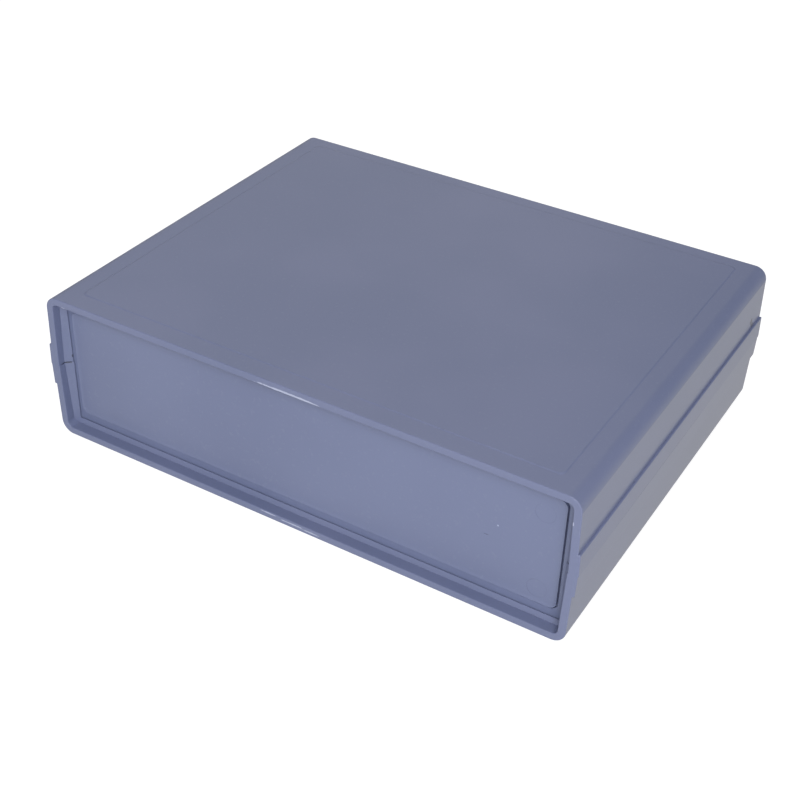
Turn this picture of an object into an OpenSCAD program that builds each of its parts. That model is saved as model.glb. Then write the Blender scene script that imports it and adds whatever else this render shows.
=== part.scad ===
// Two-shell instrument case with slide-in end panels, for a small circuit.
// The origin is on the table under the middle of the case. X runs along the
// front, the front panel faces -Y, and the shells part on a level plane.

/* [Case] */
// Width over the side bands
case_w = 180; // [150:1:240]
// Depth from the front rim to the rear rim
case_d = 139; // [110:1:200]
// Height from the table to the top of the raised field
case_h = 50; // [42:1:80]
// Height of the plane where the two shells meet
parting_z = 25; // [22:0.5:28]
// Thickness of the outer walls
wall = 2.4; // [1.8:0.1:2.8]
// Radius of the four long outer edges
edge_r = 4.2; // [3.6:0.1:6]
// Lean of each side wall for release from the mould, in degrees
draft = 1.5; // [0.5:0.1:2.5]

/* [Side bands] */
// Height of the band on each shell, from the parting plane
band_h = 7.3; // [4:0.1:12]
// How far the band stands out from the side wall
band_t = 0.7; // [0.3:0.1:1.2]
// Bare wall between the end of a band and the rim, 0 for a band that runs out
band_inset = 0; // [0:0.1:6]
// How far the lower shell stands back from the upper one at the sides
lower_setback = 0.2; // [0:0.05:0.4]

/* [Raised field on the top] */
// Height of the field
top_field_t = 0.15; // [0.1:0.05:0.6]
// Bare margin at each side of the field
top_margin_side = 9.9; // [6:0.1:20]
// Bare margin in front of the field
top_margin_front = 6.5; // [4:0.1:20]
// Bare margin behind the field
top_margin_rear = 5.1; // [4:0.1:20]
// Corner radius of the field
top_field_r = 1.8; // [0.5:0.1:6]

/* [Panel seats] */
// Depth of the lip's inner edge behind the rim
lip_depth = 4.3; // [3.5:0.1:6]
// Width of the flat on the lip's inner edge
lip_land = 0.2; // [0.1:0.1:0.6]
// Reach of the lip from a side wall
side_lip_reach = 2.1; // [1.2:0.1:3]
// Length of the side lip's bevel, measured into the case
side_lip_bevel = 1.75; // [0.6:0.05:2.4]
// Reach of the lip from the floor and from the ceiling
floor_lip_reach = 1.4; // [0.8:0.1:2.4]
// Length of the floor lip's bevel, measured into the case
floor_lip_bevel = 0.7; // [0.4:0.05:1.6]
// Free play between a panel and the front and back of its seat
slot_play = 0.4; // [0.3:0.05:1]
// Thickness of the rib behind each panel
guide_t = 1.6; // [1.2:0.1:2.4]
// Reach of the rib behind each panel
guide_reach = 3.6; // [2.4:0.1:6]

/* [End panels] */
// Thickness of a panel's border
panel_t = 2; // [1.6:0.1:3]
// Gap between a panel's edge and the shells
panel_clear = 0.3; // [0.15:0.05:0.5]
// Gap left behind a panel that leans back on its rib
panel_rear_gap = 0.15; // [0.05:0.05:0.3]
// How far a panel sinks onto the floor of its seat
panel_settle = 0.2; // [0:0.05:0.25]
// How far the middle field stands out from the border
field_t = 0.4; // [0.2:0.05:1]
// Width of the panel's border beside the field
field_margin_x = 3.2; // [2.6:0.1:12]
// Width of the panel's border above and below the field
field_margin_z = 3.1; // [2.6:0.1:10]
// Corner radius of the field
field_r = 2.2; // [0.5:0.1:5]
// Width of the groove around the foot of the field
groove_w = 0.5; // [0.3:0.05:1]
// Depth of that groove below the border's face
groove_depth = 1; // [0.4:0.05:1.3]

/* [Joint between the shells] */
// Thickness of the tongue on the upper shell
tongue_t = 1; // [0.7:0.05:1.2]
// Height of the tongue
tongue_h = 1.6; // [1:0.1:3]
// Gap around the tongue in the lower shell's rebate
tongue_clear = 0.15; // [0.1:0.05:0.3]

/* [Screws and their posts] */
// Distance of a post's axis from the side of the case
post_inset_x = 13; // [11:0.5:24]
// Distance of a post's axis from the rim
post_inset_y = 20; // [16:0.5:34]
// Radius of the lower shell's posts
lower_post_r = 4.9; // [4.6:0.1:6]
// Radius of the upper shell's posts
upper_post_r = 3.6; // [3:0.1:4.6]
// Thickness of the web between a post and the side wall
web_t = 1.6; // [1:0.1:2.4]
// How far a web stops short of the parting plane
web_drop = 4; // [2:0.5:8]
// Height of the screw head's seat above the table
seat_z = 12; // [8:0.5:16]
// Outer radius of the screw's thread
screw_r = 1.45; // [1.2:0.05:1.6]
// Length of the screw below its head
screw_l = 20; // [16:0.5:24]
// Length of the screw's point
screw_point = 2.2; // [1:0.1:3]
// Radius of the screw head
head_r = 2.8; // [2.4:0.1:3]
// Height of the screw head
head_h = 1.9; // [1.4:0.1:2.6]
// Height of the bevel around the head
head_bevel = 0.6; // [0.2:0.1:1]
// Width of each arm of the cross recess in the head
recess_w = 0.9; // [0.6:0.1:1.2]
// Span of the cross recess
recess_span = 3; // [2:0.1:3.6]
// Depth of the cross recess
recess_depth = 1.1; // [0.6:0.1:1.3]
// Gap around the head in the lower shell's counterbore
head_clear = 0.35; // [0.2:0.05:0.6]
// Gap around the screw where it passes through the lower shell
shank_clear = 0.25; // [0.1:0.05:0.4]
// Gap around the screw where it holds in the upper shell
thread_clear = 0.03; // [0.02:0.01:0.05]
// Free depth of the pilot hole beyond the screw's point
pilot_spare = 2; // [1:0.5:4]

/* [Board posts] */
// Distance between board posts along the front
board_span_x = 120; // [80:1:130]
// Distance between board posts from front to rear
board_span_y = 80; // [50:1:90]
// Radius of a board post
board_post_r = 3; // [2.4:0.1:4]
// Height of a board post above the floor
board_post_h = 5; // [3:0.5:10]
// Radius of the pilot hole in a board post
board_hole_r = 1.1; // [0.9:0.05:1.4]
// Depth of that pilot hole
board_hole_depth = 5.5; // [2.5:0.5:6]

/* [Hidden] */
$fn = 48;
shell_colour = [0.46, 0.49, 0.59];
panel_colour = [0.48, 0.51, 0.61];
steel_colour = [0.72, 0.73, 0.74];
cut = 1;                                     // how far cutting shapes run past a face
bite = wall / 2;                             // how far inner features sink into a wall
side_wall = wall / cos(draft);               // wall thickness measured level
upper_h = case_h - top_field_t - parting_z;  // upper shell, without its raised field
lower_h = parting_z;
upper_hw = case_w / 2 - band_t;              // half width of the wall at the parting plane
lower_hw = upper_hw - lower_setback;
inner_r = max(edge_r - wall, 0.6);
slot_front = lip_depth + lip_land;           // depths behind a rim
slot_rear = slot_front + panel_t + slot_play;
guide_rear = slot_rear + guide_t;
panel_front = slot_rear - panel_rear_gap - panel_t;
tongue_l = case_d - 2 * (guide_rear + cut);
post_x = case_w / 2 - post_inset_x;
post_y = case_d / 2 - post_inset_y;
pilot_depth = seat_z + screw_l + pilot_spare - parting_z;

// Axis of a shell's upper corner arc, on the side where x is positive
function corner_x(half_w, height, r) = half_w - (height - r) * tan(draft) - r / cos(draft);

// Cross-section of one shell: leaning sides, a flat top and rounded corners.
// It stands on y = 0 and may run a little below it.
module half_outline(half_w, height, r, below = 0) {
    cx = corner_x(half_w, height, r);
    foot = half_w + below * tan(draft);
    lean_x = cx + r * cos(draft);
    lean_y = height - r + r * sin(draft);
    polygon([[-foot, -below], [foot, -below], [lean_x, lean_y], [cx, height],
             [-cx, height], [-lean_x, lean_y]]);
    for (side = [-1, 1])
        translate([side * cx, height - r]) circle(r);
}

// Flat plate with round corners, centred on the origin
module round_rect(w, d, r) {
    square([w - 2 * r, d], center = true);
    square([w, d - 2 * r], center = true);
    for (x = [-1, 1], y = [-1, 1])
        translate([x * (w / 2 - r), y * (d / 2 - r)]) circle(r);
}

// Cross-section drawn in X and Z, run along Y for a length about the middle
module along_y(length) {
    rotate([90, 0, 0]) linear_extrude(length, center = true) children();
}

// The same for a slice that lies between two depths behind the front rim
module behind_rim(from, to) {
    translate([0, (from + to) / 2 - case_d / 2, 0]) along_y(to - from) children();
}

// Children at the front and, turned round, at the rear
module both_ends() {
    for (end = [0, 1]) mirror([0, end, 0]) children();
}

module both_sides() {
    for (side = [0, 1]) mirror([side, 0, 0]) children();
}

module at_posts() {
    for (x = [-1, 1], y = [-1, 1]) translate([x * post_x, y * post_y, 0]) children();
}

module at_board_posts() {
    for (x = [-1, 1], y = [-1, 1])
        translate([x * board_span_x / 2, y * board_span_y / 2, 0]) children();
}

// Section of a lip in depth (x) and distance from the middle (y): the bevel
// faces the rim and the panel slides behind the flat back.
module lip_section(surface, reach, bevel) {
    slope = bevel / reach;
    polygon([[lip_depth, surface - reach],
             [slot_front, surface - reach],
             [slot_front, surface + bite],
             [lip_depth - bevel - bite * slope, surface + bite]]);
}

// Bevelled lip around one end of a shell, in front of the panel
module end_lip(half_w, height) {
    both_sides()
        translate([0, -case_d / 2, 0])
            linear_extrude(height)
                mirror([1, -1, 0]) lip_section(half_w - side_wall, side_lip_reach, side_lip_bevel);
    translate([0, -case_d / 2, 0])
        rotate([90, 0, 90])
            linear_extrude(2 * half_w, center = true)
                lip_section(height - wall, floor_lip_reach, floor_lip_bevel);
}

// Rib around one end of a shell, behind the panel
module end_guide(half_w, height) {
    behind_rim(slot_rear, guide_rear) difference() {
        translate([-half_w, 0]) square([2 * half_w, height]);
        half_outline(half_w - side_wall - guide_reach, height - wall - guide_reach, inner_r, cut);
    }
}

// Shell without its screw holes, in its own frame: the parting plane is z = 0
// and the outer face is at z = height.
module shell(half_w, height, post_r) {
    difference() {
        union() {
            along_y(case_d) half_outline(half_w, height, edge_r);
            both_sides() side_band(half_w);
        }
        along_y(case_d + 2 * cut)
            half_outline(half_w - side_wall, height - wall, inner_r, cut);
    }
    intersection() {
        along_y(case_d) half_outline(half_w - bite, height - bite, inner_r + bite);
        union() {
            both_ends() end_lip(half_w, height);
            both_ends() end_guide(half_w, height);
            at_posts() cylinder(r = post_r, h = height);
            both_sides() both_ends()
                translate([post_x, -post_y - web_t / 2, web_drop])
                    cube([half_w - post_x, web_t, height - web_drop]);
        }
    }
}

// Raised band along the side wall, from the parting plane to its ledge
module side_band(half_w) {
    top_in = half_w - band_h * tan(draft);
    along_y(case_d - 2 * band_inset)
        polygon([[half_w - bite, 0], [half_w + band_t, 0],
                 [top_in + band_t, band_h], [top_in - bite, band_h]]);
}

// Tongue along the foot of each side wall of the upper shell, between the ribs
module tongue() {
    both_sides()
        translate([upper_hw - side_wall, -tongue_l / 2, -tongue_h])
            cube([tongue_t, tongue_l, tongue_h + bite]);
}

// Rebate for the tongue, cut out of the inner edge of the lower side wall
module rebate() {
    from = lower_hw - side_wall - cut;
    both_sides()
        translate([from, -tongue_l / 2 - tongue_clear, -tongue_h - tongue_clear])
            cube([upper_hw - side_wall + tongue_t + tongue_clear - from,
                  tongue_l + 2 * tongue_clear, tongue_h + tongue_clear + cut]);
}

module top_shell() {
    color(shell_colour) translate([0, 0, parting_z]) difference() {
        union() {
            shell(upper_hw, upper_h, upper_post_r);
            tongue();
            translate([0, (top_margin_front - top_margin_rear) / 2, upper_h - bite])
                linear_extrude(bite + top_field_t)
                    round_rect(case_w - 2 * top_margin_side,
                               case_d - top_margin_front - top_margin_rear, top_field_r);
        }
        at_posts() translate([0, 0, -cut])
            cylinder(r = screw_r + thread_clear, h = pilot_depth + cut);
    }
}

module bottom_shell() {
    color(shell_colour) difference() {
        union() {
            translate([0, 0, parting_z]) mirror([0, 0, 1]) shell(lower_hw, lower_h, lower_post_r);
            at_board_posts() translate([0, 0, bite])
                cylinder(r = board_post_r, h = wall - bite + board_post_h);
        }
        translate([0, 0, parting_z]) rebate();
        at_posts() {
            translate([0, 0, -cut]) cylinder(r = screw_r + shank_clear, h = parting_z + 2 * cut);
            translate([0, 0, -cut]) cylinder(r = head_r + head_clear, h = seat_z + cut);
        }
        at_board_posts() translate([0, 0, wall + board_post_h - board_hole_depth])
            cylinder(r = board_hole_r, h = board_hole_depth + cut);
    }
}

// Panel for the front end: a border that slides in behind the lips, and a
// field that fills the opening, with a groove around its foot
module end_panel() {
    upper_in = upper_h - wall;
    lower_in = lower_h - wall;
    field_w = 2 * (lower_hw - side_wall - panel_clear - field_margin_x);
    field_h = upper_in + lower_in - 2 * (panel_clear + field_margin_z);
    field_z = (upper_in - lower_in) / 2;
    translate([0, 0, parting_z - panel_settle]) {
        difference() {
            behind_rim(panel_front, panel_front + panel_t) {
                half_outline(lower_hw - side_wall - panel_clear, upper_in - panel_clear, inner_r);
                mirror([0, 1]) half_outline(lower_hw - side_wall - panel_clear,
                                            lower_in - panel_clear, inner_r);
            }
            behind_rim(panel_front - cut, panel_front + groove_depth) difference() {
                translate([0, field_z])
                    round_rect(field_w + 2 * groove_w, field_h + 2 * groove_w, field_r + groove_w);
                translate([0, field_z]) round_rect(field_w, field_h, field_r);
            }
        }
        behind_rim(panel_front - field_t, panel_front + bite)
            translate([0, field_z]) round_rect(field_w, field_h, field_r);
    }
}

module front_panel() {
    color(panel_colour) end_panel();
}

module rear_panel() {
    color(panel_colour) mirror([0, 1, 0]) end_panel();
}

// Self-tapping screw, head down, with its seat at z = 0
module case_screw() {
    difference() {
        rotate_extrude()
            polygon([[0, -head_h], [head_r - head_bevel, -head_h], [head_r, head_bevel - head_h],
                     [head_r, 0], [screw_r, 0], [screw_r, screw_l - screw_point], [0, screw_l]]);
        for (turn = [0, 90])
            rotate([0, 0, turn])
                translate([-recess_span / 2, -recess_w / 2, -head_h - cut])
                    cube([recess_span, recess_w, recess_depth + cut]);
    }
}

module case_screws() {
    color(steel_colour) at_posts() translate([0, 0, seat_z]) case_screw();
}

bottom_shell();
top_shell();
front_panel();
rear_panel();
case_screws();
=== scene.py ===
import math

import bmesh
import bpy
from mathutils import Matrix, Quaternion, Vector


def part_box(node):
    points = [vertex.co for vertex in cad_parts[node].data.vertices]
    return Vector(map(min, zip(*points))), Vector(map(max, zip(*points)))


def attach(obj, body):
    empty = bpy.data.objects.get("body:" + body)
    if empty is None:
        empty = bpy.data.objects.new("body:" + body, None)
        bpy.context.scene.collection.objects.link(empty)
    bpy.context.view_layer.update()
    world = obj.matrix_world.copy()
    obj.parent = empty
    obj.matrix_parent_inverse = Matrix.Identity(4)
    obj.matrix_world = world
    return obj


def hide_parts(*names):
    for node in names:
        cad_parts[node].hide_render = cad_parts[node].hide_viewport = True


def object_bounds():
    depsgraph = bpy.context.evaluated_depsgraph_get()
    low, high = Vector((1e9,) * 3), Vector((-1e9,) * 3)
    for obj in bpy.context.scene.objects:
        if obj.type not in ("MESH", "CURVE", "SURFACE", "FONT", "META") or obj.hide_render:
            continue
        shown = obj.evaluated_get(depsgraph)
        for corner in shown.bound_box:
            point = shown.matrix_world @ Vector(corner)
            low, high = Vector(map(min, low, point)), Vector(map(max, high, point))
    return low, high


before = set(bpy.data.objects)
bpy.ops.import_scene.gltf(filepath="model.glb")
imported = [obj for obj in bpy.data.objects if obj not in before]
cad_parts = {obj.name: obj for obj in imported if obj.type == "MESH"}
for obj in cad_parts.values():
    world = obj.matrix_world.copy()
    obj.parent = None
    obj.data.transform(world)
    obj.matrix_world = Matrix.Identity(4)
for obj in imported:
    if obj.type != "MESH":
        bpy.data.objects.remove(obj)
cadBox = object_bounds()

print("stage 1: camera")

mm = 0.001
caseLow, caseHigh = cadBox
caseMiddle = (caseLow + caseHigh) / 2

cameraView = {
    "azimuth": 29.93,
    "elevation": 35.16,
    "roll": 2.05,
    "distance": 443.1 * mm,
    "shiftRight": -4.74 * mm,
    "shiftUp": -16.22 * mm,
    "lens": 62.47,
}


def placeCamera(view):
    turn, tilt = math.radians(view["azimuth"]), math.radians(view["elevation"])
    back = Vector((math.sin(turn) * math.cos(tilt), -math.cos(turn) * math.cos(tilt), math.sin(tilt)))
    rotation = (-back).to_track_quat("-Z", "Y") @ Quaternion((0, 0, 1), math.radians(view["roll"]))
    right, up = rotation @ Vector((1, 0, 0)), rotation @ Vector((0, 1, 0))
    data = bpy.data.cameras.new("caseCamera")
    data.lens = view["lens"]
    data.clip_start = 0.01
    camera = bpy.data.objects.new("caseCamera", data)
    camera.rotation_mode = "QUATERNION"
    camera.rotation_quaternion = rotation
    camera.location = (caseMiddle + back * view["distance"]
                       + right * view["shiftRight"] + up * view["shiftUp"])
    bpy.context.scene.collection.objects.link(camera)
    bpy.context.scene.camera = camera


placeCamera(cameraView)
bpy.context.scene.view_settings.view_transform = "Standard"

print("stage 2: shader groups")


def newGroup(name, inputs, outputs):
    group = bpy.data.node_groups.new(name, "ShaderNodeTree")
    for label, kind, value in inputs:
        socket = group.interface.new_socket(label, in_out="INPUT", socket_type=kind)
        if value is not None:
            socket.default_value = value
    for label, kind in outputs:
        group.interface.new_socket(label, in_out="OUTPUT", socket_type=kind)
    return group, group.nodes.new("NodeGroupInput"), group.nodes.new("NodeGroupOutput")


def feed(tree, socket, value):
    if isinstance(value, (int, float, tuple, Vector)):
        socket.default_value = value
    elif value is not None:
        tree.links.new(value, socket)


def mathNode(tree, operation, first, second=None, clamp=False):
    node = tree.nodes.new("ShaderNodeMath")
    node.operation = operation
    node.use_clamp = clamp
    feed(tree, node.inputs[0], first)
    feed(tree, node.inputs[1], second)
    return node.outputs[0]


def vectorNode(tree, operation, first, second):
    node = tree.nodes.new("ShaderNodeVectorMath")
    node.operation = operation
    feed(tree, node.inputs[0], first)
    feed(tree, node.inputs[1], second)
    return node.outputs["Value" if operation in ("LENGTH", "DOT_PRODUCT") else "Vector"]


def rangeNode(tree, value, fromMin, fromMax, toMin=0.0, toMax=1.0):
    node = tree.nodes.new("ShaderNodeMapRange")
    node.interpolation_type = "SMOOTHSTEP"
    feed(tree, node.inputs["Value"], value)
    for label, number in (("From Min", fromMin), ("From Max", fromMax),
                          ("To Min", toMin), ("To Max", toMax)):
        feed(tree, node.inputs[label], number)
    return node.outputs["Result"]


def noiseNode(tree, coordinates, scale, detail=2.0, roughness=0.5):
    node = tree.nodes.new("ShaderNodeTexNoise")
    for label, value in (("Vector", coordinates), ("Scale", scale),
                         ("Detail", detail), ("Roughness", roughness)):
        feed(tree, node.inputs[label], value)
    return node.outputs["Fac"]


mouldSurface = {  # scales of the noise, in cells per metre
    "grainScale": 2600.0,
    "sinkScale": 45.0,
    "sinkShare": 2.0,  # height of the soft unevenness against the grain
    "mottleScale": 14.0,
    "speckleScale": 900.0,
    "speckleFrom": 0.62,
    "speckleFull": 0.74,
}


# Fine grain that a spark-eroded mould leaves, with larger soft unevenness
def makeMouldGrain():
    group, source, target = newGroup(
        "mouldGrain",
        [("Coordinates", "NodeSocketVector", None),
         ("Grain Scale", "NodeSocketFloat", mouldSurface["grainScale"]),
         ("Sink Scale", "NodeSocketFloat", mouldSurface["sinkScale"])],
        [("Height", "NodeSocketFloat"), ("Mottle", "NodeSocketFloat"), ("Speckle", "NodeSocketFloat")])
    coordinates = source.outputs["Coordinates"]
    grain = noiseNode(group, coordinates, source.outputs["Grain Scale"], 3.0, 0.6)
    sink = noiseNode(group, coordinates, source.outputs["Sink Scale"], 1.0, 0.4)
    uneven = mathNode(group, "MULTIPLY", sink, mouldSurface["sinkShare"])
    group.links.new(mathNode(group, "ADD", grain, uneven), target.inputs["Height"])
    mottle = noiseNode(group, coordinates, mouldSurface["mottleScale"], 3.0, 0.5)
    group.links.new(mottle, target.inputs["Mottle"])
    speckle = rangeNode(group, noiseNode(group, coordinates, mouldSurface["speckleScale"], 1.0),
                        mouldSurface["speckleFrom"], mouldSurface["speckleFull"])
    group.links.new(speckle, target.inputs["Speckle"])
    return group


spotFull, spotClear = 0.75, 1.15  # shares of the half size


# Soft-edged spot of any half size around a place, broken up by noise
def makePlacedSpot():
    group, source, target = newGroup(
        "placedSpot",
        [("Coordinates", "NodeSocketVector", None), ("Place", "NodeSocketVector", None),
         ("Half Size", "NodeSocketVector", (0.001, 0.001, 0.001)), ("Breakup", "NodeSocketFloat", 0.0),
         ("Breakup Scale", "NodeSocketFloat", 900.0)],
        [("Mask", "NodeSocketFloat")])
    offset = vectorNode(group, "SUBTRACT", source.outputs["Coordinates"], source.outputs["Place"])
    steps = vectorNode(group, "DIVIDE", offset, source.outputs["Half Size"])
    reach = vectorNode(group, "LENGTH", steps, None)
    noise = noiseNode(group, source.outputs["Coordinates"], source.outputs["Breakup Scale"], 3.0, 0.6)
    ragged = mathNode(group, "MULTIPLY", mathNode(group, "SUBTRACT", noise, 0.5), source.outputs["Breakup"])
    mask = rangeNode(group, mathNode(group, "ADD", reach, ragged), spotClear, spotFull)
    group.links.new(mask, target.inputs["Mask"])
    return group


ringBreakupScale = 260.0
discEdge = 0.2 * mm  # how softly the disc inside the ring ends


# Ring that an ejector pin leaves on an upright face
def makeWitnessRing():
    group, source, target = newGroup(
        "witnessRing",
        [("Coordinates", "NodeSocketVector", None), ("Place", "NodeSocketVector", None),
         ("Radius", "NodeSocketFloat", 0.003), ("Width", "NodeSocketFloat", 0.0002),
         ("Breakup", "NodeSocketFloat", 0.0)],
        [("Ring", "NodeSocketFloat"), ("Disc", "NodeSocketFloat")])
    offset = vectorNode(group, "SUBTRACT", source.outputs["Coordinates"], source.outputs["Place"])
    flat = vectorNode(group, "MULTIPLY", offset, (1.0, 0.0, 1.0))
    reach = vectorNode(group, "LENGTH", flat, None)
    away = mathNode(group, "ABSOLUTE", mathNode(group, "SUBTRACT", reach, source.outputs["Radius"]))
    steps = mathNode(group, "DIVIDE", away, source.outputs["Width"])
    ring = mathNode(group, "SUBTRACT", 1.0, steps, clamp=True)
    noise = noiseNode(group, source.outputs["Coordinates"], ringBreakupScale, 2.0, 0.5)
    faded = mathNode(group, "MULTIPLY", noise, source.outputs["Breakup"])
    fade = mathNode(group, "SUBTRACT", 1.0, faded, clamp=True)
    group.links.new(mathNode(group, "MULTIPLY", ring, fade), target.inputs["Ring"])
    inside = mathNode(group, "SUBTRACT", source.outputs["Radius"], reach)
    group.links.new(rangeNode(group, inside, -discEdge, discEdge), target.inputs["Disc"])
    return group


mouldGrain = makeMouldGrain()
placedSpot = makePlacedSpot()
witnessRing = makeWitnessRing()

print("stage 3: materials")


def rgb(red, green, blue):
    channels = [channel / 255 for channel in (red, green, blue)]
    linear = [c / 12.92 if c <= 0.04045 else ((c + 0.055) / 1.055) ** 2.4 for c in channels]
    return (*linear, 1.0)


def newMaterial(name):
    material = bpy.data.materials.new(name)
    material.use_nodes = True
    tree = material.node_tree
    coordinates = tree.nodes.new("ShaderNodeTexCoord").outputs["Object"]
    return material, tree, tree.nodes["Principled BSDF"], coordinates


def useGroup(tree, group, coordinates, **values):
    node = tree.nodes.new("ShaderNodeGroup")
    node.node_tree = group
    tree.links.new(coordinates, node.inputs["Coordinates"])
    for label, value in values.items():
        feed(tree, node.inputs[label.replace("_", " ")], value)
    return node


def mixColour(tree, factor, first, second):
    node = tree.nodes.new("ShaderNodeMix")
    node.data_type = "RGBA"
    feed(tree, node.inputs["Factor"], factor)
    feed(tree, node.inputs["A"], first)
    feed(tree, node.inputs["B"], second)
    return node.outputs["Result"]


# Where the marks lie, measured from the pieces themselves
rimFront = caseLow.y
panelLow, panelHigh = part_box("front_panel")
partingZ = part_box("bottom_shell")[1].z

shellFinish = {
    "deep": rgb(100, 108, 138),
    "pale": rgb(105, 112, 142),
    "fleck": rgb(112, 120, 146),
    "worn": rgb(168, 174, 196),
    "shade": rgb(48, 52, 70),
    "roughness": 0.44,
    "sideGloss": 0.16,  # how much smoother the side walls are
    "sideFrom": 88.4 * mm,
    "sideTop": 45.7 * mm,
    "grainHeight": 0.012 * mm,
    "scuffs": [  # place, half size
        (Vector((-1.5 * mm, rimFront, 47.95 * mm)), (9.5 * mm, 0.8 * mm, 0.36 * mm)),
        (Vector((6.5 * mm, rimFront, 47.8 * mm)), (4.0 * mm, 0.8 * mm, 0.3 * mm)),
        (Vector((-8.0 * mm, rimFront, 1.9 * mm)), (3.5 * mm, 0.8 * mm, 0.22 * mm)),
        (Vector((0.0 * mm, rimFront, 1.5 * mm)), (3.5 * mm, 0.8 * mm, 0.24 * mm)),
        (Vector((6.5 * mm, rimFront, 1.2 * mm)), (3.2 * mm, 0.8 * mm, 0.24 * mm)),
        (Vector((86.7 * mm, rimFront, 41.6 * mm)), (0.25 * mm, 0.5 * mm, 0.6 * mm)),
        (Vector((-81.9 * mm, rimFront, 47.6 * mm)), (0.6 * mm, 0.5 * mm, 0.2 * mm)),
    ],
    # dark marks in the shade colour, each also dented slightly: painted shadow in the seam gaps, painted
    # shade in the nicks
    "shadedNicksAndGaps": [
        # painted shadow in the seam gap across the left and right lips
        (Vector((-85.9 * mm, rimFront + 2.6 * mm, partingZ)), (1.3 * mm, 2.3 * mm, 0.26 * mm)),
        (Vector((85.9 * mm, rimFront + 2.6 * mm, partingZ)), (1.3 * mm, 2.3 * mm, 0.26 * mm)),
        # painted shadow along the seam on both sides
        (Vector((89.7 * mm, -13 * mm, partingZ - 0.3 * mm)), (1.5 * mm, 46 * mm, 0.26 * mm)),
        (Vector((-89.7 * mm, 12 * mm, partingZ - 0.3 * mm)), (1.5 * mm, 40 * mm, 0.24 * mm)),
        # painted shade in the notch on the left lip and in the hook nick near the rear of the right side
        (Vector((-84.7 * mm, rimFront + 4.3 * mm, 27.3 * mm)), (0.35 * mm, 0.5 * mm, 0.6 * mm)),
        (Vector((89.1 * mm, 59.8 * mm, 35.2 * mm)), (1.5 * mm, 0.9 * mm, 1.3 * mm)),
        (Vector((89.1 * mm, 61.2 * mm, 33.4 * mm)), (1.5 * mm, 1.4 * mm, 0.7 * mm)),
    ],
}
panelFinish = {
    "deep": rgb(100, 108, 138),
    "pale": rgb(104, 112, 142),
    "fleck": rgb(112, 120, 146),
    "worn": rgb(160, 168, 196),
    "shade": rgb(60, 66, 92),
    "roughness": 0.38,
    "grainHeight": 0.012 * mm,
    "scuffs": [(Vector((64.1 * mm, panelLow.y, 27.4 * mm)), (0.3 * mm, 0.5 * mm, 0.3 * mm))],
    # a nick darkened with painted shade in the shade colour, dented slightly
    "shadedNicksAndGaps": [(Vector((60.8 * mm, panelLow.y, 22.9 * mm)), (1.0 * mm, 0.5 * mm, 0.12 * mm))],
    "witnessMarks": [Vector((77.2 * mm, panelLow.y, 37.6 * mm)),
                     Vector((77.0 * mm, panelLow.y, 11.4 * mm))],
    "witnessRadius": 3.0 * mm,
    "witnessWidth": 0.25 * mm,
}


markStrength = {  # shares of colour; depths against the grain's height
    "speckle": 0.35,
    "scuff": 0.8,
    "scuffBreakup": 1.6,
    "scuffScale": 700.0,
    # painted shade on nicks and seam gaps: how dark, how deep and how ragged
    "nickAndGapShade": 0.85,
    "nickAndGapDepth": 6.0,
    "nickAndGapBreakup": 0.6,
    "nickAndGapScale": 1500.0,
    "ring": 0.5,
    "ringBreakup": 1.4,
    "discDepth": 1.5,
    "bump": 0.5,
}


def markColour(tree, mask, strength, base, colour):
    return mixColour(tree, mathNode(tree, "MULTIPLY", mask, markStrength[strength]), base, colour)


def markDepth(tree, height, mask, depth):
    return mathNode(tree, "SUBTRACT", height, mathNode(tree, "MULTIPLY", mask, markStrength[depth]))


# The side walls came off a smoother mould face
def sideRoughness(tree, coordinates, finish):
    place = tree.nodes.new("ShaderNodeSeparateXYZ")
    tree.links.new(coordinates, place.inputs[0])
    across = mathNode(tree, "ABSOLUTE", place.outputs["X"])
    outer = mathNode(tree, "GREATER_THAN", across, finish["sideFrom"])
    below = mathNode(tree, "LESS_THAN", place.outputs["Z"], finish["sideTop"])
    side = mathNode(tree, "MULTIPLY", outer, below)
    gloss = mathNode(tree, "MULTIPLY", side, finish["sideGloss"])
    return mathNode(tree, "SUBTRACT", finish["roughness"], gloss)


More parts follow.
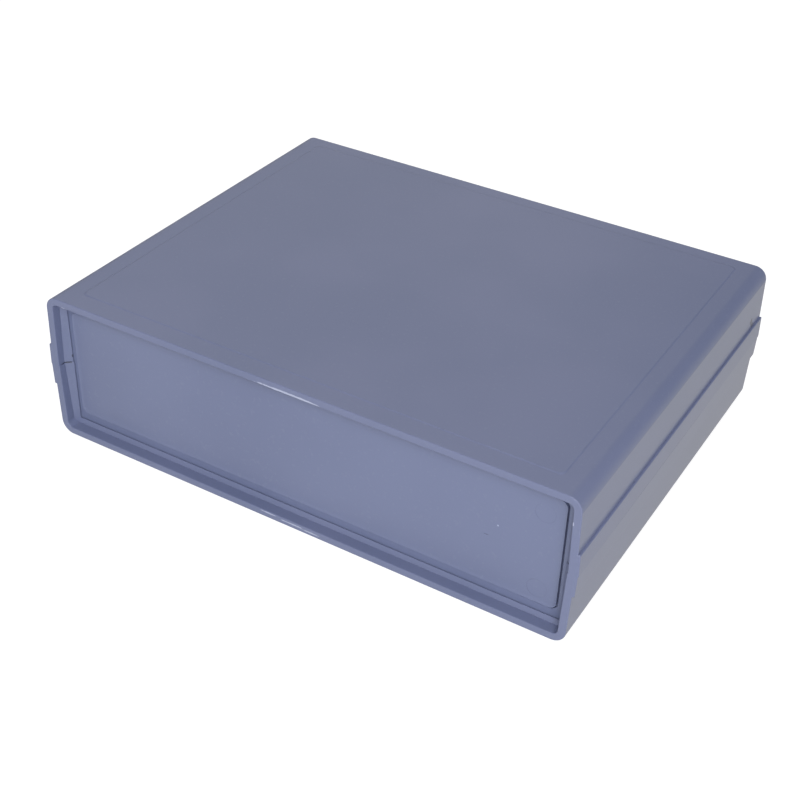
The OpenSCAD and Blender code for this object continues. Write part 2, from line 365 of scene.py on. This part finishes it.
def mouldedPlastic(name, finish):
    material, tree, shader, coordinates = newMaterial(name)
    grain = useGroup(tree, mouldGrain, coordinates)
    mottle = rangeNode(tree, grain.outputs["Mottle"], 0.35, 0.65)
    base = mixColour(tree, mottle, finish["deep"], finish["pale"])
    base = markColour(tree, grain.outputs["Speckle"], "speckle", base, finish["fleck"])
    height = grain.outputs["Height"]
    for place, halfSize in finish["scuffs"]:
        scuff = useGroup(tree, placedSpot, coordinates, Place=place, Half_Size=halfSize,
                         Breakup=markStrength["scuffBreakup"], Breakup_Scale=markStrength["scuffScale"])
        base = markColour(tree, scuff.outputs["Mask"], "scuff", base, finish["worn"])
        height = mathNode(tree, "ADD", height, scuff.outputs["Mask"])
    # painted shade: the nicks and seam gaps take the shade colour and a slight dent
    for place, halfSize in finish["shadedNicksAndGaps"]:
        nickAndGapShade = useGroup(tree, placedSpot, coordinates, Place=place, Half_Size=halfSize,
                        Breakup=markStrength["nickAndGapBreakup"], Breakup_Scale=markStrength["nickAndGapScale"])
        base = markColour(tree, nickAndGapShade.outputs["Mask"], "nickAndGapShade", base, finish["shade"])
        height = markDepth(tree, height, nickAndGapShade.outputs["Mask"], "nickAndGapDepth")
    # the witness ring line is darkened with the shade colour; the disc inside it is dented slightly
    for place in finish.get("witnessMarks", []):
        mark = useGroup(tree, witnessRing, coordinates, Place=place, Radius=finish["witnessRadius"],
                        Width=finish["witnessWidth"], Breakup=markStrength["ringBreakup"])
        base = markColour(tree, mark.outputs["Ring"], "ring", base, finish["shade"])
        height = markDepth(tree, height, mark.outputs["Disc"], "discDepth")
    tree.links.new(base, shader.inputs["Base Color"])
    shader.inputs["Roughness"].default_value = finish["roughness"]
    if "sideGloss" in finish:
        tree.links.new(sideRoughness(tree, coordinates, finish), shader.inputs["Roughness"])
    bump = tree.nodes.new("ShaderNodeBump")
    bump.inputs["Strength"].default_value = markStrength["bump"]
    bump.inputs["Distance"].default_value = finish["grainHeight"]
    tree.links.new(height, bump.inputs["Height"])
    tree.links.new(bump.outputs["Normal"], shader.inputs["Normal"])
    return material


screwFinish = {
    "grainScale": 1800.0,
    "deep": rgb(165, 168, 172),
    "pale": rgb(196, 198, 200),
    "roughness": (0.28, 0.40),
}


def zincSteel(name):
    material, tree, shader, coordinates = newMaterial(name)
    grain = noiseNode(tree, coordinates, screwFinish["grainScale"], 2.0)
    base = mixColour(tree, grain, screwFinish["deep"], screwFinish["pale"])
    tree.links.new(base, shader.inputs["Base Color"])
    tree.links.new(rangeNode(tree, grain, 0.3, 0.7, *screwFinish["roughness"]), shader.inputs["Roughness"])
    shader.inputs["Metallic"].default_value = 1.0
    return material


shellPlastic = mouldedPlastic("shellPlastic", shellFinish)
panelPlastic = mouldedPlastic("panelPlastic", panelFinish)
screwSteel = zincSteel("screwSteel")

print("stage 4: pieces")

shellEdges = {
    "rim": 0.3 * mm,
    "seam": 0.1 * mm,  # where the two shells meet, along the sides
    "lipSeam": 0.16 * mm,  # the same, across the lips
    "lip": 0.07 * mm,
    "ledge": 0.14 * mm,
    "foot": 0.2 * mm,
    "bandHeight": 7.3 * mm,
    "fieldSlope": 0.45 * mm,
    # where the edges lie, as depths below the outer walls and ends
    "sideSeamDepth": 0.8 * mm,
    "lipSeamDepth": 4.6 * mm,
    "lipTipDepth": 4.2 * mm,
    "lipFrom": 2.5 * mm,
    "lipUpTo": 3.5 * mm,
    "fieldStep": 0.3 * mm,
}
panelEdges = {
    "fieldHeight": 0.4 * mm,
    "grooveDepth": 1.0 * mm,
    "shallow": 0.04 * mm,  # what is left of the groove away from its deep end
    "deepEnd": 15 * mm,  # how far the deep part reaches from the end of the panel
    "dish": [(0.4 * mm, 0.15 * mm), (0.6 * mm, 0.07 * mm), (0.9 * mm, 0.02 * mm)],  # width, drop inside
    "footRise": 1.1 * mm,  # how far the groove's lower run moves up
    "footBelow": 6 * mm,  # the lower run lies below this height
    "border": 2 * mm,  # the groove starts further in than this
}
roundedFrom = math.radians(25)  # edges at least this sharp are rounded
creasedFrom = math.radians(33)
flatWithin = math.radians(0.5)
mergedWithin = 0.002 * mm


def cleanCopy(node):
    bm = bmesh.new()
    bm.from_mesh(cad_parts[node].data)
    bmesh.ops.remove_doubles(bm, verts=bm.verts, dist=mergedWithin)
    bmesh.ops.dissolve_limit(bm, angle_limit=flatWithin, use_dissolve_boundaries=False,
                             verts=bm.verts, edges=bm.edges, delimit={"NORMAL"})
    return bm


def near(value, target, tolerance=0.02 * mm):
    return abs(value - target) < tolerance


# Rounds the convex edges whose two ends pass the test
def softenEdges(bm, width, test, segments=2):
    edges = [edge for edge in bm.edges
             if edge.is_manifold and edge.calc_face_angle_signed() > roundedFrom
             and test(*(vertex.co for vertex in edge.verts))]
    if edges:
        bmesh.ops.bevel(bm, geom=edges, offset=width, offset_type="OFFSET", segments=segments,
                        profile=0.5, affect="EDGES", clamp_overlap=True, material=-1)
    print("  rounded", len(edges), "edges")


def finishPiece(bm, name, node, material):
    for face in bm.faces:
        face.smooth = not face.tag
    for edge in bm.edges:
        edge.smooth = not (edge.is_manifold and abs(edge.calc_face_angle_signed()) > creasedFrom)
    mesh = bpy.data.meshes.new(name)
    bm.to_mesh(mesh)
    bm.free()
    mesh.materials.append(material)
    piece = bpy.data.objects.new(name, mesh)
    bpy.context.scene.collection.objects.link(piece)
    weighted = piece.modifiers.new("weighted", "WEIGHTED_NORMAL")
    weighted.keep_sharp = True
    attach(piece, "root")
    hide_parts(node)


def inSeam(first, second):
    return near(first.z, partingZ) and near(second.z, partingZ)


def onRim(first, second):
    return near(abs(first.y), caseHigh.y) and near(abs(second.y), caseHigh.y) and not inSeam(first, second)


def onSideSeam(first, second):
    across = min(abs(first.x), abs(second.x))
    return inSeam(first, second) and across > caseHigh.x - shellEdges["sideSeamDepth"]


def onLipSeam(first, second):
    across = [abs(end.x) for end in (first, second)]
    along = min(abs(first.y), abs(second.y))
    return (inSeam(first, second) and along > caseHigh.y - shellEdges["lipSeamDepth"]
            and max(across) < caseHigh.x - shellEdges["lipFrom"]
            and min(across) < caseHigh.x - shellEdges["lipUpTo"])


def onLipTip(first, second):
    deep = [caseHigh.y - abs(end.y) for end in (first, second)]
    return (min(deep) > shellEdges["lipTipDepth"] and max(deep) < shellEdges["lipSeamDepth"]
            and not inSeam(first, second))


def onLedge(first, second):
    return all(near(abs(end.z - partingZ), shellEdges["bandHeight"]) for end in (first, second))


def onFoot(first, second):
    return near(first.z, caseLow.z) and near(second.z, caseLow.z)


# Slopes the low step round the raised field of the top
def slopeField(bm):
    crown = [vertex for vertex in bm.verts if near(vertex.co.z, caseHigh.z)]
    if not crown:
        return
    low, high = (Vector([pick(vertex.co[axis] for vertex in crown) for axis in range(3)])
                 for pick in (min, max))
    middle, half = (low + high) / 2, (high - low) / 2
    shrink = (1 - shellEdges["fieldSlope"] / half.x, 1 - shellEdges["fieldSlope"] / half.y, 1)
    bmesh.ops.scale(bm, vec=shrink, space=Matrix.Translation(-middle), verts=crown)
    bm.normal_update()
    for face in bm.faces:
        lowest = min(vertex.co.z for vertex in face.verts)
        face.tag = 0.3 < face.normal.z < 0.99 and lowest > caseHigh.z - shellEdges["fieldStep"]


def makeShell(name, node):
    bm = cleanCopy(node)
    softenEdges(bm, shellEdges["rim"], onRim, 3)
    softenEdges(bm, shellEdges["seam"], onSideSeam)
    softenEdges(bm, shellEdges["lipSeam"], onLipSeam)
    softenEdges(bm, shellEdges["lip"], onLipTip)
    softenEdges(bm, shellEdges["ledge"], onLedge)
    softenEdges(bm, shellEdges["foot"], onFoot)
    slopeField(bm)
    finishPiece(bm, name, node, shellPlastic)


# Sinks the field a little inside its outline, and keeps the deep groove at one end only
def makePanel(name, node):
    bm = cleanCopy(node)
    low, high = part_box(node)
    front, inward = (low.y, 1) if high.y < 0 else (high.y, -1)
    border = panelEdges["border"]
    foot = [vertex for vertex in bm.verts
            if low.z + border < vertex.co.z < low.z + panelEdges["footBelow"]]
    bmesh.ops.translate(bm, vec=(0, 0, panelEdges["footRise"]), verts=foot)
    field = [face for face in bm.faces if all(near(vertex.co.y, front) for vertex in face.verts)]
    for width, drop in panelEdges["dish"]:
        inner = {vertex for face in field for vertex in face.verts}
        bmesh.ops.inset_region(bm, faces=field, thickness=width, depth=0.0, use_even_offset=True)
        bmesh.ops.translate(bm, vec=(0, inward * drop, 0), verts=list(inner))
    deepEnd = inward * (high.x - panelEdges["deepEnd"])
    bmesh.ops.bisect_plane(bm, geom=bm.verts[:] + bm.edges[:] + bm.faces[:], dist=0.001 * mm,
                           plane_co=(deepEnd, 0, 0), plane_no=(1, 0, 0))
    lift = inward * (panelEdges["grooveDepth"] - panelEdges["shallow"])
    floor = front + inward * (panelEdges["fieldHeight"] + panelEdges["grooveDepth"])
    raised = [vertex for vertex in bm.verts
              if near(vertex.co.y, floor) and inward * (vertex.co.x - deepEnd) < 0.01 * mm
              and abs(vertex.co.x) < high.x - border and low.z + border < vertex.co.z < high.z - border]
    print("  raised", len(raised), "points of the groove's floor")
    bmesh.ops.translate(bm, vec=(0, -lift, 0), verts=raised)
    finishPiece(bm, name, node, panelPlastic)


makeShell("lowerShell", "bottom_shell")
makeShell("upperShell", "top_shell")
makePanel("frontPanel", "front_panel")
makePanel("rearPanel", "rear_panel")

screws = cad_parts["case_screws"]
screws.data.materials.clear()
screws.data.materials.append(screwSteel)

print("stage 5: floor and light")

studio = {
    "floorSize": 6.0,
    "floorMirrored": (0.74, 0.72, 0.65, 1.0),  # what the gloss of the case picks up from it
    "floorDrop": 0.2 * mm,
    "floorWhite": 1.25,  # how light the floor shows to the camera
    "shadowSeen": 0.4,  # how much of the shadow the camera sees
    "worldStrength": 0.25,
    "lamps": [  # name, place, size, power
        ("keyLight", Vector((0.56, -1.02, 0.77)), 0.9, 20.0),
        ("topLight", Vector((0.0, -0.14, 1.39)), 1.2, 2.4),
        ("backLight", Vector((-0.7, 0.91, 0.8)), 1.2, 3.6),
    ],
}


def makeFloor():
    bm = bmesh.new()
    bmesh.ops.create_grid(bm, x_segments=1, y_segments=1, size=studio["floorSize"] / 2)
    bmesh.ops.translate(bm, vec=(0, 0, caseLow.z - studio["floorDrop"]), verts=bm.verts)
    mesh = bpy.data.meshes.new("studioFloor")
    bm.to_mesh(mesh)
    bm.free()
    floor = bpy.data.objects.new("studioFloor", mesh)
    bpy.context.scene.collection.objects.link(floor)
    material, tree, shader, _ = newMaterial("studioFloor")
    shader.inputs["Base Color"].default_value = (1.0, 1.0, 1.0, 1.0)
    shader.inputs["Roughness"].default_value = 1.0
    shader.inputs["Specular IOR Level"].default_value = 0.0
    path = tree.nodes.new("ShaderNodeLightPath")
    white, mirrored = tree.nodes.new("ShaderNodeEmission"), tree.nodes.new("ShaderNodeEmission")
    white.inputs["Strength"].default_value = studio["floorWhite"]
    mirrored.inputs["Color"].default_value = studio["floorMirrored"]
    surface = shader.outputs["BSDF"]
    seen = mathNode(tree, "MULTIPLY", path.outputs["Is Camera Ray"], 1.0 - studio["shadowSeen"])
    for share, glow in ((seen, white), (path.outputs["Is Glossy Ray"], mirrored)):
        mixed = tree.nodes.new("ShaderNodeMixShader")
        tree.links.new(share, mixed.inputs["Fac"])
        tree.links.new(surface, mixed.inputs[1])
        tree.links.new(glow.outputs["Emission"], mixed.inputs[2])
        surface = mixed.outputs["Shader"]
    tree.links.new(surface, tree.nodes["Material Output"].inputs["Surface"])
    mesh.materials.append(material)


def makeLamp(name, place, size, power):
    data = bpy.data.lights.new(name, "AREA")
    data.size = size
    data.energy = power
    lamp = bpy.data.objects.new(name, data)
    lamp.location = place
    lamp.rotation_mode = "QUATERNION"
    lamp.rotation_quaternion = (caseMiddle - place).to_track_quat("-Z", "Y")
    bpy.context.scene.collection.objects.link(lamp)


def makeWorld():
    world = bpy.data.worlds.new("studioWorld")
    world.use_nodes = True
    tree = world.node_tree
    background = tree.nodes["Background"]
    background.inputs["Color"].default_value = (1.0, 1.0, 1.0, 1.0)
    path = tree.nodes.new("ShaderNodeLightPath")
    strength = tree.nodes.new("ShaderNodeMix")
    feed(tree, strength.inputs["A"], studio["worldStrength"])
    feed(tree, strength.inputs["B"], 1.0)
    tree.links.new(path.outputs["Is Camera Ray"], strength.inputs["Factor"])
    tree.links.new(strength.outputs["Result"], background.inputs["Strength"])
    bpy.context.scene.world = world


makeFloor()
makeWorld()
for lamp in studio["lamps"]:
    makeLamp(*lamp)
